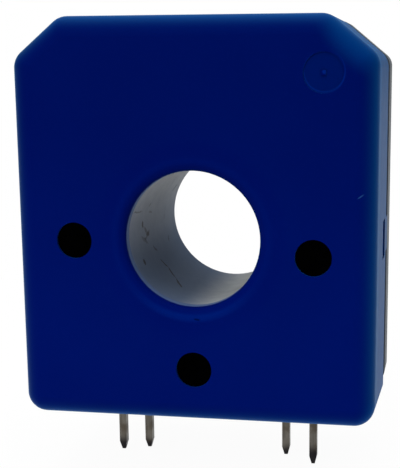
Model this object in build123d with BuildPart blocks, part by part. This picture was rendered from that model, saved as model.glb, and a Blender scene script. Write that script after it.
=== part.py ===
from build123d import *
import os
from math import cos, radians, sin

# Closed-loop current sensor that stands on a circuit board on four pins. All sizes are in millimetres.
# X runs across the case, Y from the front face to the back, Z up.
# The origin is on the board that the sensor stands on, in the middle of the row of pins.

# Case, seen from the front
case_width = 36.0
case_height = 40.0
chamfer_run = 4.8
chamfer_drop = 4.0
face_corner_radius = 2.1
seam_corner_radius = 0.6
rear_corner_radius = 1.5

# Case, from front to back
front_shell_depth = 15.0
rear_shell_depth = 7.0
face_edge_radius = 2.0
back_edge_chamfer = 0.4

# Walls, and the play between parts that fit into each other
front_wall = 2.2
side_wall = 1.8
back_wall = 1.8
fit_gap = 0.1

# Joint between the two shells
seam_groove_width = 2.4
seam_groove_depth = 0.7
spigot_length = 1.6
spigot_wall = 1.0

# Aperture for the conductor
bore_height = 18.5
lip_bore_radius = 6.7
lip_radius = 1.0
tube_bore_radius = 7.2
tube_wall = 1.1
tube_seat = 0.5
tube_rim_chamfer = 0.4

# Latch on each side: a window and a tongue in the front shell, a hooked arm on the rear shell
latch_height = 17.35
latch_window_height = 4.1
latch_window_width = 3.2
latch_bar_width = 1.8
tongue_gap = 0.2
arm_thickness = 1.2
arm_side_gap = 0.2
arm_slit = 0.6
hook_height = 0.9
hook_land = 0.8

# Posts that hold the circuit board between the shells
post_size = 2.6
clamp_post_size = 2.0
post_below_chamfer = 1.7

# Filling holes in the front face, over the winding, and the resin in them. A rise is from the bore's centre
potting_hole_radius = 1.8
potting_left_outset = 0.1
potting_left_rise = -0.25
potting_right_outset = 0.25
potting_right_rise = -1.45
potting_lower_shift = 0.1
potting_lower_overhang = 0.4
resin_recess = 0.3

# Round mark that the moulding gate leaves in the front face
gate_mark_side_inset = 5.15
gate_mark_top_inset = 5.5
gate_mark_radius = 1.9
gate_mark_recess = 0.15
gate_nub_size = 0.5

# Pins, numbered from the left
pin_size = 0.8
pin_row_depth = 11.0
pin_pitch = 3.0
pin_side_inset = 7.25
pin_reaches = (7.1, 6.7, 6.7, 7.6)
pin_tip_length = 0.9
pin_tip_size = 0.35
pin_top_height = 6.2
pin_slot_margin = 0.35
solder_foot_half = 0.8
solder_top_half = 0.48
seal_recess = 0.3

# Circuit board
board_thickness = 1.6
board_edge_gap = 0.3
board_clearance = 0.3
drill_gap = 0.1

# Magnetic ring in its cup, with the winding round both
insulating_disc_thickness = 0.2
winding_tube_gap = 0.8
winding_arm_gap = 0.5
winding_board_gap = 1.35
winding_share = 0.142
winding_ridge_share = 0.33
winding_corner_share = 0.6
winding_turns = 8
winding_turn_share = 0.75
winding_free_angle = 40.0
cup_wall_share = 0.085
core_play = 0.05
core_gap = 2.4

# Pegs that carry the cup on the circuit board, each with a tab through a square hole
peg_size = 2.2
peg_tab_size = 1.2
peg_tab_height = 0.5
peg_offset = 2.6

# Wires of the winding
wire_size = 0.35
wire_angle_inset = 4.0
wire_solder_foot = 1.4
wire_solder_top = 0.55
wire_solder_height = 0.6

# Field sensor chip in the gap of the magnetic ring
sensor_thickness = 1.5
sensor_length = 3.6
sensor_lead_count = 4
sensor_lead_pitch = 0.62
sensor_lead_size = 0.3
sensor_lead_tail = 0.7

# Amplifier chip
amplifier_side_gap = 1.25
amplifier_width = 3.9
amplifier_height = 1.4
amplifier_lead_span = 6.0
amplifier_lead_count = 4
amplifier_lead_pitch = 1.27
amplifier_lead_width = 0.42

# Driver transistors
driver_side_gap = 1.2
driver_width = 3.2
driver_height = 1.6
driver_lead_span = 6.4
driver_lead_count = 3
driver_lead_width = 0.5

# Supply capacitors
supply_capacitor_length = 5.6
supply_capacitor_width = 3.2
supply_capacitor_height = 2.5

# Clamp diodes
diode_length = 4.2
diode_width = 2.6
diode_height = 2.1
diode_step_in = 4.3
diode_edge_gap = 0.2

# Leads and terminals of the parts above
lead_thickness = 0.2
lead_foot = 0.6
terminal_width_share = 0.6
terminal_foot = 1.2
body_lift = 0.1
body_chamfer = 0.2

# Chip resistors and ceramic capacitors
resistor_length = 2.0
resistor_width = 1.25
resistor_height = 0.5
resistor_columns = 4
resistor_row_gap = 3.0
ceramic_length = 2.0
ceramic_width = 1.25
ceramic_height = 1.0
ceramic_pitch = 2.2

# Places worked out from the sizes above. A depth is measured from the front face.
half_width = case_width / 2
case_depth = front_shell_depth + rear_shell_depth
inner_half_width = half_width - side_wall
tube_outer_radius = tube_bore_radius + tube_wall
tube_front = front_wall - tube_seat
groove_back = front_shell_depth + seam_groove_width
spigot_front = front_shell_depth - spigot_length
spigot_half_width = inner_half_width - fit_gap
spigot_inset = side_wall + fit_gap + spigot_wall
board_inset = spigot_inset + board_edge_gap
back_wall_front = case_depth - back_wall
window_back = front_shell_depth - latch_bar_width
window_front = window_back - latch_window_width
arm_height = latch_window_height - 2 * arm_side_gap
notch_half_height = arm_height / 2 + arm_slit
post_x = half_width - board_inset - post_size / 2
lower_post_z = board_inset + post_size / 2
upper_post_z = case_height - chamfer_drop - post_below_chamfer - post_size / 2
post_places = [(x, z) for x in (-post_x, post_x) for z in (lower_post_z, upper_post_z)]
outer_pin_offset = half_width - pin_side_inset
inner_pin_offset = outer_pin_offset - pin_pitch
pin_places = (-outer_pin_offset, -inner_pin_offset, inner_pin_offset, outer_pin_offset)
pin_pair_centre = (inner_pin_offset + outer_pin_offset) / 2
pin_slot_width = pin_pitch + pin_size + 2 * pin_slot_margin
pin_slot_front = pin_row_depth - pin_size / 2 - pin_slot_margin
finger_front = pin_row_depth + pin_size / 2 + pin_slot_margin
board_front = pin_row_depth + pin_size / 2
board_back = board_front + board_thickness
board_bottom = board_inset
disc_back = front_wall + insulating_disc_thickness
winding_front = disc_back
winding_back = board_front - winding_board_gap
winding_inner_radius = tube_outer_radius + winding_tube_gap
room_at_sides = spigot_half_width - arm_thickness
room_below = bore_height - side_wall
room_above = case_height - side_wall - bore_height
winding_outer_radius = min(room_at_sides, room_below, room_above) - winding_arm_gap
winding_middle_radius = (winding_inner_radius + winding_outer_radius) / 2
winding_room = winding_outer_radius - winding_inner_radius
winding_thickness = winding_share * winding_room
winding_ridge = winding_ridge_share * winding_thickness
winding_corner = winding_corner_share * winding_thickness
cup_wall = cup_wall_share * winding_room
potting_places = {
    "left": (-winding_middle_radius - potting_left_outset, bore_height + potting_left_rise),
    "right": (winding_middle_radius + potting_right_outset, bore_height + potting_right_rise),
    "lower": (
        potting_lower_shift,
        bore_height - winding_outer_radius + potting_hole_radius - potting_lower_overhang,
    ),
}
cup_front = winding_front + winding_thickness
cup_back = winding_back - winding_thickness
cup_inner_radius = winding_inner_radius + winding_thickness
cup_outer_radius = winding_outer_radius - winding_thickness
cup_rim = cup_front + cup_wall
core_front = cup_rim + core_play
core_back = cup_back - cup_wall
core_inner_radius = cup_inner_radius + cup_wall + core_play
core_outer_radius = cup_outer_radius - cup_wall - core_play
core_middle_radius = (core_inner_radius + core_outer_radius) / 2
winding_sweep = 180 - winding_free_angle
peg_rise = (winding_middle_radius ** 2 - peg_offset ** 2) ** 0.5
peg_places = [(x, bore_height + z) for x in (-peg_offset, peg_offset) for z in (-peg_rise, peg_rise)]
sensor_height = bore_height + core_middle_radius
sensor_back = core_front + sensor_length
bore_axis = Axis((0, 0, bore_height), (0, -1, 0))
spigot_top = case_height - spigot_inset

# Free zones on the back of the circuit board: beside the tube, and above it on both sides of the pegs
side_zone_x = (tube_outer_radius + half_width - spigot_inset) / 2
side_zone_width = half_width - spigot_inset - tube_outer_radius
upper_zone_inner = peg_offset + peg_size / 2 + board_clearance
upper_zone_outer = half_width - chamfer_run - side_wall
upper_zone_x = (upper_zone_inner + upper_zone_outer) / 2
upper_zone_width = upper_zone_outer - upper_zone_inner
driver_length = side_zone_width - 2 * driver_side_gap
driver_z = (latch_height + notch_half_height + upper_post_z - clamp_post_size / 2) / 2
supply_capacitor_z = (latch_height - notch_half_height + lower_post_z + clamp_post_size / 2) / 2
amplifier_length = upper_zone_width - 2 * amplifier_side_gap
resistor_pitch = (upper_zone_width - resistor_width) / (resistor_columns - 1)

os.makedirs("parts", exist_ok=True)


def at_depth(depth):
    """Plane parallel to the front face, this far behind it. Its normal points to the front."""
    return Plane.XZ.offset(pin_row_depth - depth)


def keep(builder, name):
    """Label a finished piece and write it to its own file."""
    builder.part.label = name
    export_step(builder.part, f"parts/{name}.step")


def case_outline(inset, corner_radius=0, bottom_radius=None):
    """Front view of the case, drawn in by the inset, with chamfered upper corners. Radius 0 is sharp."""
    shoulder = case_height - chamfer_drop
    top_half = half_width - chamfer_run
    with BuildSketch() as outline:
        with BuildLine():
            Polyline(
                (-half_width, 0), (half_width, 0), (half_width, shoulder), (top_half, case_height),
                (-top_half, case_height), (-half_width, shoulder), close=True,
            )
        make_face()
        if inset > 0:
            offset(amount=-inset, kind=Kind.INTERSECTION)
        if corner_radius > 0:
            fillet(outline.vertices().sort_by(Axis.Y)[:2], radius=bottom_radius or corner_radius)
            fillet(outline.vertices().sort_by(Axis.Y)[-4:], radius=corner_radius)
    return outline.sketch


def disc_at(x, z, radius, mode=Mode.ADD):
    """Circle in the front view."""
    with Locations((x, z)):
        Circle(radius, mode=mode)


def block_at(x_from, x_to, z_from, z_to):
    """Rectangle in the front view, given by its sides."""
    with Locations(((x_from + x_to) / 2, (z_from + z_to) / 2)):
        Rectangle(abs(x_to - x_from), abs(z_to - z_from))


def square_at(x, z, size, mode=Mode.ADD):
    """Square in the front view, given by its middle."""
    with Locations((x, z)):
        Rectangle(size, size, mode=mode)


def make_front_shell():
    """Blue shell: front face, sides, aperture lip, latch windows and board posts, moulded in one piece."""
    cap_depth = face_edge_radius + fit_gap
    with BuildPart() as shell:
        with BuildSketch(at_depth(0)):
            add(case_outline(0, face_corner_radius))
        extrude(amount=-cap_depth)
        fillet(shell.faces().sort_by(Axis.Y)[0].edges(), radius=face_edge_radius)
        with BuildSketch(at_depth(cap_depth)):
            add(case_outline(0, face_corner_radius))
        with BuildSketch(at_depth(front_shell_depth)):
            add(case_outline(0, face_corner_radius, seam_corner_radius))
        loft(ruled=True)

        # Inside of the shell, then what stands in it
        with BuildSketch(at_depth(front_wall)):
            add(case_outline(side_wall))
        extrude(amount=front_wall - front_shell_depth, mode=Mode.SUBTRACT)
        with BuildSketch(at_depth(front_wall)):
            for x, z in post_places:
                square_at(x, z, post_size)
        extrude(amount=front_wall - board_front)

        # Aperture with its rounded lip, and the seat for the end of the rear shell's tube
        with BuildSketch(at_depth(0)):
            disc_at(0, bore_height, lip_bore_radius)
        extrude(amount=-front_wall, mode=Mode.SUBTRACT)
        lip = shell.edges().filter_by(GeomType.CIRCLE).filter_by(lambda edge: edge.radius == lip_bore_radius)
        fillet(lip.sort_by(Axis.Y)[0], radius=lip_radius)
        with BuildSketch(at_depth(tube_front)):
            disc_at(0, bore_height, tube_outer_radius + fit_gap)
        extrude(amount=-tube_seat, mode=Mode.SUBTRACT)

        # Filling holes and the mark of the gate
        with BuildSketch(at_depth(0)):
            for x, z in potting_places.values():
                disc_at(x, z, potting_hole_radius)
        extrude(amount=-front_wall, mode=Mode.SUBTRACT)
        gate_mark_x = half_width - gate_mark_side_inset
        gate_mark_z = case_height - gate_mark_top_inset
        with BuildSketch(at_depth(0)):
            disc_at(gate_mark_x, gate_mark_z, gate_mark_radius)
            square_at(gate_mark_x, gate_mark_z, gate_nub_size, mode=Mode.SUBTRACT)
        extrude(amount=-gate_mark_recess, mode=Mode.SUBTRACT)

        # Latch windows, and the tongues that bridge the groove behind them
        with BuildSketch(at_depth(window_front)):
            for side in (-1, 1):
                low = latch_height - latch_window_height / 2
                block_at(side * inner_half_width, side * half_width, low, low + latch_window_height)
        extrude(amount=-latch_window_width, mode=Mode.SUBTRACT)
        with BuildSketch(at_depth(front_shell_depth)):
            for side in (-1, 1):
                low = latch_height - arm_height / 2
                inner = side * (half_width - seam_groove_depth + fit_gap)
                block_at(inner, side * half_width, low, low + arm_height)
        extrude(amount=tongue_gap - seam_groove_width)

        # Slots for the pins, open to the back so that the circuit board can slide in
        with BuildSketch(at_depth(pin_slot_front)):
            for side in (-1, 1):
                left = side * pin_pair_centre - pin_slot_width / 2
                block_at(left, left + pin_slot_width, 0, side_wall)
        extrude(amount=pin_slot_front - front_shell_depth, mode=Mode.SUBTRACT)
    keep(shell, "front_shell")
    return shell


def make_rear_shell():
    """Grey shell: back wall, aperture tube, spigot, latch arms and pin slot fingers, moulded in one piece."""
    with BuildPart() as shell:
        with BuildSketch(at_depth(groove_back)):
            add(case_outline(0, rear_corner_radius))
        extrude(amount=groove_back - case_depth)
        chamfer(shell.faces().sort_by(Axis.Y)[-1].edges(), length=back_edge_chamfer)
        with BuildSketch(at_depth(front_shell_depth)):
            add(case_outline(seam_groove_depth))
        extrude(amount=-seam_groove_width)
        with BuildSketch(at_depth(spigot_front)):
            add(case_outline(side_wall + fit_gap))
        extrude(amount=-spigot_length)
        with BuildSketch(at_depth(spigot_front)):
            add(case_outline(spigot_inset))
        extrude(amount=spigot_front - back_wall_front, mode=Mode.SUBTRACT)

        # Slits that free each latch arm, then the arms with their hooks
        low = latch_height - arm_height / 2
        with BuildSketch(at_depth(spigot_front)):
            for side in (-1, 1):
                inner = side * (spigot_half_width - arm_thickness)
                block_at(inner, side * spigot_half_width, low - arm_slit, low + arm_height + arm_slit)
        extrude(amount=-spigot_length, mode=Mode.SUBTRACT)
        for side in (-1, 1):
            outer = spigot_half_width
            hook_back = window_back - fit_gap
            hook_front = window_front + fit_gap
            with BuildSketch(Plane.XY.offset(low)):
                with BuildLine():
                    Polyline(
                        *[
                            (side * x, depth - pin_row_depth)
                            for x, depth in (
                                (outer - arm_thickness, groove_back), (outer - arm_thickness, hook_front),
                                (outer, hook_front), (outer + hook_height, hook_back - hook_land),
                                (outer + hook_height, hook_back), (outer, hook_back), (outer, groove_back),
                            )
                        ],
                        close=True,
                    )
                make_face()
            extrude(amount=arm_height)

        # Posts that clamp the circuit board, and the tube through the whole depth
        with BuildSketch(at_depth(board_back)):
            for x, z in post_places:
                square_at(x, z, clamp_post_size)
        extrude(amount=board_back - back_wall_front)
        with BuildSketch(at_depth(tube_front)):
            disc_at(0, bore_height, tube_outer_radius)
        extrude(amount=tube_front - case_depth)
        with BuildSketch(at_depth(tube_front)):
            disc_at(0, bore_height, tube_bore_radius)
        extrude(amount=tube_front - case_depth, mode=Mode.SUBTRACT)
        rims = shell.edges().filter_by(GeomType.CIRCLE)
        tube_rims = rims.filter_by(lambda edge: edge.radius == tube_bore_radius)
        chamfer(tube_rims.sort_by(Axis.Y)[-1], length=tube_rim_chamfer)

        # Fingers that close the pin slots behind the pins
        with BuildSketch(at_depth(finger_front)):
            for side in (-1, 1):
                left = side * pin_pair_centre - pin_slot_width / 2 + fit_gap
                block_at(left, left + pin_slot_width - 2 * fit_gap, 0, side_wall)
        extrude(amount=finger_front - groove_back)
    keep(shell, "rear_shell")
    return shell


def make_potting_plug(name, seat_depth):
    """Resin that fills one hole of the front face, down to what it holds."""
    x, z = potting_places[name]
    with BuildPart() as plug:
        with BuildSketch(at_depth(resin_recess)):
            disc_at(x, z, potting_hole_radius)
        extrude(amount=resin_recess - seat_depth)
    keep(plug, f"potting_plug_{name}")


def make_pin(number):
    """Square tinned pin with a tapered tip."""
    x = pin_places[number - 1]
    reach = pin_reaches[number - 1]
    with BuildPart() as pin:
        with BuildSketch(Plane.XY.offset(-reach + pin_tip_length)):
            with Locations((x, 0)):
                Rectangle(pin_size, pin_size)
        extrude(amount=reach - pin_tip_length + pin_top_height)
        with BuildSketch(Plane.XY.offset(-reach + pin_tip_length)):
            with Locations((x, 0)):
                Rectangle(pin_size, pin_size)
        with BuildSketch(Plane.XY.offset(-reach)):
            with Locations((x, 0)):
                Rectangle(pin_tip_size, pin_tip_size)
        loft(ruled=True)
    keep(pin, f"pin_{number}")
    return pin


def make_pin_solder(number, pin):
    """Solder fillet that joins one pin to its pad on the front of the circuit board."""
    x = pin_places[number - 1]
    low = board_bottom + lead_foot
    high = pin_top_height + lead_foot
    with BuildPart() as solder:
        with BuildSketch(at_depth(board_front)):
            block_at(x - solder_foot_half, x + solder_foot_half, low, high)
        with BuildSketch(at_depth(pin_row_depth)):
            block_at(x - solder_top_half, x + solder_top_half, low + lead_foot / 2, high - lead_foot / 2)
        loft(ruled=True)
        add(pin.part, mode=Mode.SUBTRACT)
    keep(solder, f"pin_solder_{number}")


def make_pin_seal(side, name):
    """Resin round a pair of pins, in the slot where they leave the case."""
    left = side * pin_pair_centre - pin_slot_width / 2
    with BuildPart() as seal:
        with BuildSketch(Plane.XY.offset(seal_recess)):
            with Locations((left + pin_slot_width / 2, 0)):
                Rectangle(pin_slot_width, pin_size + 2 * pin_slot_margin)
            for x in pin_places:
                with Locations((x, 0)):
                    Rectangle(pin_size, pin_size, mode=Mode.SUBTRACT)
        extrude(amount=side_wall - seal_recess)
    keep(seal, f"pin_seal_{name}")


def make_circuit_board():
    """Board behind the winding, cut out for the tube and the bending latch arms, and for pegs and leads."""
    notch_inner = spigot_half_width - arm_thickness - hook_height - fit_gap
    lead_heights = sensor_lead_heights()
    with BuildPart() as board:
        with BuildSketch(at_depth(board_front)):
            add(case_outline(board_inset))
            disc_at(0, bore_height, tube_outer_radius + board_clearance, mode=Mode.SUBTRACT)
            for side in (-1, 1):
                with Locations((side * (notch_inner + half_width) / 2, latch_height)):
                    Rectangle(half_width - notch_inner, 2 * notch_half_height, mode=Mode.SUBTRACT)
            for x, z in peg_places:
                square_at(x, z, peg_tab_size + 2 * drill_gap, mode=Mode.SUBTRACT)
            for x, z in wire_places():
                disc_at(x, z, wire_size / 2 + drill_gap, mode=Mode.SUBTRACT)
            with Locations((0, (lead_heights[0] + lead_heights[-1]) / 2)):
                slot_width = sensor_lead_size + 2 * drill_gap
                Rectangle(slot_width, lead_heights[-1] - lead_heights[0] + slot_width, mode=Mode.SUBTRACT)
        extrude(amount=-board_thickness)
    keep(board, "circuit_board")


def wire_places():
    """Where the two wire ends leave the winding, in the front view."""
    places = []
    half_angle = winding_free_angle / 2 + wire_angle_inset
    for angle in (270 - half_angle, 270 + half_angle):
        turn = radians(angle)
        places.append((winding_middle_radius * cos(turn), bore_height + winding_middle_radius * sin(turn)))
    return places


def sensor_lead_heights():
    """Heights of the field sensor's leads."""
    first = sensor_height - sensor_lead_pitch * (sensor_lead_count - 1) / 2
    return [first + sensor_lead_pitch * index for index in range(sensor_lead_count)]


def make_insulating_disc():
    """Film ring between the winding and the front shell, with windows where the resin passes."""
    with BuildPart() as disc:
        with BuildSketch(at_depth(front_wall)):
            disc_at(0, bore_height, winding_outer_radius)
            disc_at(0, bore_height, winding_inner_radius, mode=Mode.SUBTRACT)
            for x, z in potting_places.values():
                square_at(x, z, 2 * (potting_hole_radius + fit_gap), mode=Mode.SUBTRACT)
        extrude(amount=-insulating_disc_thickness)
    keep(disc, "insulating_disc")


def make_core_ring():
    """Magnetic ring of wound strip, cut through at the top for the field sensor."""
    with BuildPart() as core:
        with BuildSketch(at_depth(core_front)):
            disc_at(0, bore_height, core_outer_radius)
            disc_at(0, bore_height, core_inner_radius, mode=Mode.SUBTRACT)
            with Locations((0, bore_height + core_outer_radius)):
                Rectangle(core_gap, 2 * core_inner_radius, mode=Mode.SUBTRACT)
        extrude(amount=core_front - core_back)
    keep(core, "core_ring")


def make_core_cup():
    """Moulded ring-shaped tray for the magnetic ring, with sensor ribs and staked pegs."""
    rib_inner = sensor_thickness / 2 + core_play
    rib_outer = core_gap / 2 - core_play
    low = bore_height + cup_inner_radius
    high = bore_height + cup_outer_radius - cup_wall
    with BuildPart() as cup:
        with BuildSketch(at_depth(cup_rim)):
            disc_at(0, bore_height, cup_outer_radius)
            disc_at(0, bore_height, cup_inner_radius, mode=Mode.SUBTRACT)
        extrude(amount=cup_rim - cup_back)
        with BuildSketch(at_depth(cup_rim)):
            disc_at(0, bore_height, cup_outer_radius - cup_wall)
            disc_at(0, bore_height, cup_inner_radius + cup_wall, mode=Mode.SUBTRACT)
        extrude(amount=cup_rim - core_back, mode=Mode.SUBTRACT)
        with BuildSketch(at_depth(core_front)):
            for side in (-1, 1):
                block_at(side * rib_inner, side * rib_outer, low + cup_wall / 2, high)
        extrude(amount=core_front - cup_back)
        with BuildSketch(at_depth(core_back)):
            block_at(-rib_inner, rib_inner, low + cup_wall, high)
        extrude(amount=core_back - cup_back, mode=Mode.SUBTRACT)
        with BuildSketch(at_depth(cup_back)):
            for x, z in peg_places:
                square_at(x, z, peg_size)
        extrude(amount=cup_back - board_front)
        with BuildSketch(at_depth(board_front)):
            for x, z in peg_places:
                square_at(x, z, peg_tab_size)
        extrude(amount=-board_thickness - peg_tab_height)
    keep(cup, "core_cup")


def make_core_lid():
    """Flat ring that closes the tray in front of the magnetic ring."""
    with BuildPart() as lid:
        with BuildSketch(at_depth(cup_front)):
            disc_at(0, bore_height, cup_outer_radius)
            disc_at(0, bore_height, cup_inner_radius, mode=Mode.SUBTRACT)
        extrude(amount=-cup_wall)
    keep(lid, "core_lid")


def winding_section(start_angle, shrink, corner):
    """Section of the winding round the cup, at an angle round the aperture."""
    turn = radians(start_angle)
    plane = Plane(
        origin=(0, -pin_row_depth, bore_height),
        x_dir=(cos(turn), 0, sin(turn)),
        z_dir=(-sin(turn), 0, cos(turn)),
    )
    outer_width = winding_outer_radius - winding_inner_radius - 2 * shrink
    outer_length = winding_back - winding_front - 2 * shrink
    with BuildSketch(plane) as section:
        with Locations((winding_middle_radius, (winding_front + winding_back) / 2)):
            Rectangle(outer_width, outer_length)
        if corner > 0:
            chamfer(section.vertices(), length=corner)
        with Locations((winding_middle_radius, (winding_front + winding_back) / 2)):
            Rectangle(cup_outer_radius - cup_inner_radius, cup_back - cup_front, mode=Mode.SUBTRACT)
    return section.sketch


def make_winding(name, start_angle):
    """Half of the compensation winding: a layer of wire round the cup, with outer turns that stand proud."""
    step = winding_sweep / winding_turns
    with BuildPart() as winding:
        add(winding_section(start_angle, winding_ridge, 0))
        revolve(axis=bore_axis, revolution_arc=winding_sweep)
        turn_start = start_angle + step * (1 - winding_turn_share) / 2
        with BuildPart(mode=Mode.PRIVATE) as turn:
            add(winding_section(turn_start, 0, winding_corner))
            revolve(axis=bore_axis, revolution_arc=step * winding_turn_share)
        for index in range(winding_turns):
            add(turn.part.rotate(bore_axis, index * step))
    keep(winding, f"winding_{name}")


def make_winding_link():
    """Wire along the cup that joins the two halves of the winding."""
    first = radians(90 - winding_free_angle / 2)
    last = radians(90 + winding_free_angle / 2)
    outer = cup_outer_radius + wire_size
    with BuildPart() as link:
        with BuildSketch(at_depth((cup_front + cup_back) / 2)):
            with BuildLine():
                centre = (0, bore_height)
                CenterArc(centre, cup_outer_radius, 90 - winding_free_angle / 2, winding_free_angle)
                CenterArc(centre, outer, 90 - winding_free_angle / 2, winding_free_angle)
                for turn in (first, last):
                    Line(
                        (cup_outer_radius * cos(turn), bore_height + cup_outer_radius * sin(turn)),
                        (outer * cos(turn), bore_height + outer * sin(turn)),
                    )
            make_face()
        extrude(amount=-wire_size)
    keep(link, "winding_link")


def make_winding_lead(name, place):
    """End of the winding wire, from the back of the winding through the circuit board."""
    with BuildPart() as lead:
        with BuildSketch(at_depth(winding_back)):
            disc_at(*place, wire_size / 2)
        extrude(amount=winding_back - board_back)
    keep(lead, f"winding_lead_{name}")


def make_field_sensor():
    """Chip that measures the field in the gap, and its straight leads through the circuit board."""
    half_height = (core_outer_radius - core_inner_radius) / 2
    with BuildPart() as chip:
        with BuildSketch(at_depth(core_front)):
            block_at(
                -sensor_thickness / 2, sensor_thickness / 2,
                sensor_height - half_height, sensor_height + half_height,
            )
        extrude(amount=-sensor_length)
        chamfer(chip.edges().filter_by(Axis.Y), length=body_chamfer)
    keep(chip, "field_sensor_chip")
    with BuildPart() as leads:
        with BuildSketch(at_depth(sensor_back)):
            for z in sensor_lead_heights():
                with Locations((0, z)):
                    Rectangle(sensor_lead_size, sensor_lead_size)
        extrude(amount=sensor_back - board_back - sensor_lead_tail)
    keep(leads, "field_sensor_leads")


def make_lead_solder():
    """Solder over the ends of the winding's wires, on the square pads at the back of the circuit board."""
    with BuildPart() as solder:
        for x, z in wire_places():
            with BuildSketch(at_depth(board_back)):
                square_at(x, z, wire_solder_foot)
            with BuildSketch(at_depth(board_back + wire_solder_height)):
                square_at(x, z, wire_solder_top)
            loft(ruled=True)
    keep(solder, "lead_solder")


def body_block(x, z, width, height_in_z, thickness):
    """Moulded body of a part on the back of the circuit board, lifted a little and chamfered."""
    with BuildPart() as body:
        with BuildSketch(at_depth(board_back + body_lift)):
            with Locations((x, z)):
                Rectangle(width, height_in_z)
        extrude(amount=-thickness)
        chamfer(body.faces().sort_by(Axis.Y)[-1].edges(), length=body_chamfer)
    return body


def gull_leads(x, z, body_half, span, rise, count, pitch, width):
    """Bent leads in two rows, from the ends of a body down to the circuit board and outwards."""
    half_span = span / 2
    knee = half_span - lead_foot
    foot = board_back
    top = foot + rise
    outline = (
        (body_half, top), (body_half, top + lead_thickness), (knee + lead_thickness, top + lead_thickness),
        (knee + lead_thickness, foot + lead_thickness), (half_span, foot + lead_thickness), (half_span, foot),
        (knee, foot), (knee, top),
    )
    with BuildPart() as leads:
        for index in range(count):
            offset_x = (index - (count - 1) / 2) * pitch
            for side in (-1, 1):
                points = [(depth - pin_row_depth, z + side * out) for out, depth in outline]
                with BuildSketch(Plane.YZ.offset(x + offset_x - width / 2)):
                    with BuildLine():
                        Polyline(*points, close=True)
                    make_face()
                extrude(amount=width)
    return leads


def make_chip(name, lead_name, x, z, length, width, height, span, count, pitch, lead_width):
    """Body with a row of bent leads above and below it."""
    keep(body_block(x, z, length, width, height), name)
    rise = body_lift + height / 2 - lead_thickness / 2
    keep(gull_leads(x, z, width / 2, span, rise, count, pitch, lead_width), lead_name)


def make_terminal_part(names, terminal_name, places, width, length, height):
    """Bodies that stand upright on the board, each with a folded terminal at both ends."""
    for name, (x, z) in zip(names, places):
        keep(body_block(x, z, width, length, height), name)
    with BuildPart() as terminals:
        for x, z in places:
            half = width * terminal_width_share / 2
            for side in (-1, 1):
                end = z + side * length / 2
                with BuildSketch(at_depth(board_back)):
                    block_at(x - half, x + half, end, end + side * lead_thickness)
                extrude(amount=-body_lift - height / 2)
                with BuildSketch(at_depth(board_back)):
                    block_at(x - half, x + half, end - side * terminal_foot, end)
                extrude(amount=-body_lift)
    keep(terminals, terminal_name)


def make_small_parts(name, places, length, width, height):
    """Group of small blocks that lie on the back of the circuit board."""
    with BuildPart() as parts:
        with BuildSketch(at_depth(board_back)):
            for x, z in places:
                with Locations((x, z)):
                    Rectangle(width, length)
        extrude(amount=-height)
    keep(parts, name)


make_front_shell()
make_rear_shell()
make_potting_plug("left", winding_front)
make_potting_plug("right", winding_front)
make_potting_plug("lower", cup_front)
for pin_number in range(1, len(pin_places) + 1):
    make_pin_solder(pin_number, make_pin(pin_number))
make_pin_seal(-1, "left")
make_pin_seal(1, "right")
make_circuit_board()
make_insulating_disc()
make_core_ring()
make_core_cup()
make_core_lid()
make_winding("left", 90 + winding_free_angle / 2)
make_winding("right", -90 + winding_free_angle / 2)
make_winding_link()
make_winding_lead("start", wire_places()[0])
make_winding_lead("end", wire_places()[1])
make_field_sensor()
make_lead_solder()

# The parts on the back of the circuit board keep to the free zones above, beside and below the tube
upper_zone_z = spigot_top - board_clearance - amplifier_lead_span / 2
make_chip(
    "amplifier_chip", "amplifier_leads", -upper_zone_x, upper_zone_z, amplifier_length, amplifier_width,
    amplifier_height, amplifier_lead_span, amplifier_lead_count, amplifier_lead_pitch, amplifier_lead_width,
)
for name, side in (("left", -1), ("right", 1)):
    make_chip(
        f"driver_transistor_{name}", f"driver_leads_{name}", side * side_zone_x, driver_z,
        driver_length, driver_width, driver_height, driver_lead_span, driver_lead_count,
        driver_length / driver_lead_count, driver_lead_width,
    )
make_terminal_part(
    ("supply_capacitor_left", "supply_capacitor_right"), "capacitor_terminals",
    [(side * side_zone_x, supply_capacitor_z) for side in (-1, 1)],
    supply_capacitor_width, supply_capacitor_length, supply_capacitor_height,
)
make_terminal_part(
    ("clamp_diode_left", "clamp_diode_right"), "diode_terminals",
    [
        (side * (side_zone_x - diode_step_in), board_bottom + diode_edge_gap + diode_length / 2)
        for side in (-1, 1)
    ],
    diode_width, diode_length, diode_height,
)
first_resistor_x = upper_zone_inner + resistor_width / 2
make_small_parts(
    "chip_resistors",
    [
        (first_resistor_x + column * resistor_pitch, upper_zone_z + row * resistor_row_gap / 2)
        for column in range(resistor_columns)
        for row in (-1, 1)
    ],
    resistor_length, resistor_width, resistor_height,
)
ceramic_z = spigot_top - board_clearance - ceramic_length / 2
make_small_parts(
    "ceramic_capacitors", [(side * ceramic_pitch / 2, ceramic_z) for side in (-1, 1)],
    ceramic_length, ceramic_width, ceramic_height,
)
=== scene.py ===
"""Looks of a closed-loop current sensor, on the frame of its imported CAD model. Lengths are in metres."""

import math

import bmesh
import bpy
from mathutils import Matrix, Vector


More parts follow.
